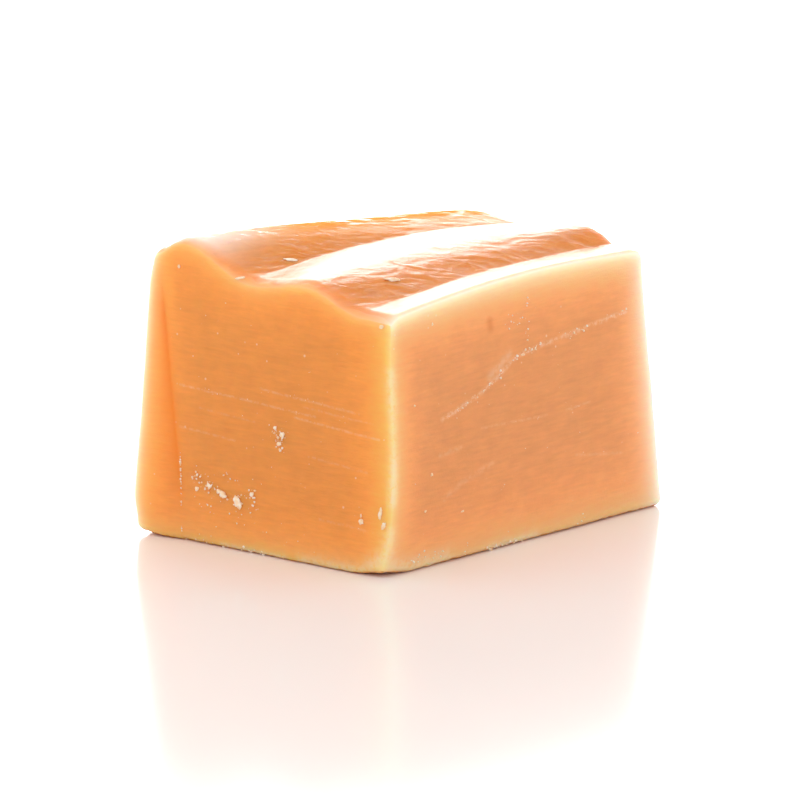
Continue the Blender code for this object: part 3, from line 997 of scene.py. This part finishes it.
def makeCrumbs(surface):
    dice = random.Random(crumbs["seed"])
    mesh = bmesh.new()
    for flake in crumbs["flakes"]:
        place, normal = onFace(surface, flake["face"], *flake["at"])
        addCrumb(mesh, dice, place, normal, flake["size"], flake["turn"], subdivisions=3)
    spots = []
    for cluster in crumbs["clusters"]:
        for _ in range(cluster["count"]):
            run = dice.gauss(cluster["at"][0], cluster["spread"][0])
            rise = dice.gauss(cluster["at"][1], cluster["spread"][1])
            spots.append((cluster["face"], run, max(rise, crumbs["lowest"]), cluster["size"]))
    for row in crumbs["rows"]:
        for start, end in zip(row["line"], row["line"][1:]):
            length = math.dist(start, end)
            for _ in range(round(length * row["perMm"])):
                share = dice.random()
                run, rise = (a + (b - a) * share for a, b in zip(start, end))
                if noise.noise(Vector((run, rise, 0)) * crumbs["gapScale"]) < crumbs["gapBelow"]:
                    continue
                spots.append((row["face"], run, rise + dice.gauss(0, crumbs["rowWidth"]), row["size"]))
    for face, run, rise, (small, large) in spots:
        place, normal = onFace(surface, face, run, rise)
        if place is None:
            continue
        size = small + (large - small) * dice.random() ** crumbs["fewLarge"]
        high, thick = dice.uniform(*crumbs["height"]), dice.uniform(*crumbs["thickness"])
        shape = (2 * size, 2 * size * high, 2 * size * thick)
        addCrumb(mesh, dice, place, normal, shape)
    bmesh.ops.recalc_face_normals(mesh, faces=mesh.faces)
    piece = pieceFrom(mesh, "sugarCrumbs", crumbMaterial())
    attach(piece, "root")
    print("crumbs made:", len(spots), "grains,", len(piece.data.polygons), "faces")


def crumbMaterial():
    material, tree, shader = startMaterial("sugarCrumb")
    spot = inMillimetres(tree)
    grain = noiseAt(tree, spot, *crumbs["bumpNoise"])
    tint = remap(tree, noiseAt(tree, spot, *crumbs["tintNoise"]), *crumbs["tintRange"])
    tree.links.new(mixColour(tree, tint, *crumbs["colours"]), shader.inputs["Base Color"])
    bumpInputs = {"Height": grain, "Strength": crumbs["bumpStrength"], "Distance": crumbs["bumpDepth"]}
    bump = addNode(tree, "ShaderNodeBump", bumpInputs)
    tree.links.new(bump.outputs["Normal"], shader.inputs["Normal"])
    shader.inputs["Roughness"].default_value = crumbs["roughness"]
    return material


studio = {
    "floorSize": 3.0,
    "floorCells": 8,
    "floorColour": (0.92, 0.92, 0.92, 1.0),
    "floorRoughness": 0.15,
    "sky": 1.1,
    "lightDistance": 0.5,
    # softboxes: azimuth and elevation in degrees, size in metres, brightness next to white
    "lights": (
        {"name": "backBox", "from": (133.0, 4.5), "size": (0.48, 0.18), "bright": 4.0},
        {"name": "tipBox", "from": (142.5, 26.0), "size": (0.31, 0.15), "bright": 3.0},
        {"name": "sheenBox", "from": (121.0, 21.5), "size": (0.2, 0.09), "bright": 1.0},
    ),
}


def makeFloor():
    mesh = bmesh.new()
    cells = studio["floorCells"]
    bmesh.ops.create_grid(mesh, x_segments=cells, y_segments=cells, size=studio["floorSize"] / 2)
    data = bpy.data.meshes.new("floor")
    mesh.to_mesh(data)
    mesh.free()
    material, tree, shader = startMaterial("floor")
    shader.inputs["Base Color"].default_value = studio["floorColour"]
    shader.inputs["Roughness"].default_value = studio["floorRoughness"]
    data.materials.append(material)
    addObject("floor", data)


def makeLight():
    world = bpy.data.worlds.new("studio")
    world.use_nodes = True
    background = world.node_tree.nodes["Background"]
    background.inputs["Color"].default_value = (1.0, 1.0, 1.0, 1.0)
    background.inputs["Strength"].default_value = studio["sky"]
    bpy.context.scene.world = world
    for box in studio["lights"]:
        light = bpy.data.lights.new(box["name"], "AREA")
        light.shape = "RECTANGLE"
        light.size, light.size_y = box["size"]
        light.energy = box["bright"] * math.pi * light.size * light.size_y
        place = view["lookAt"] + towards(*box["from"]) * studio["lightDistance"]
        aimAt(addObject(box["name"], light), place, view["lookAt"])
    bpy.context.scene.view_settings.view_transform = "Standard"
    print("studio ready")


makeCamera()
blockSurface = makeBlock()
makeCrumbs(blockSurface)
makeFloor()
makeLight()
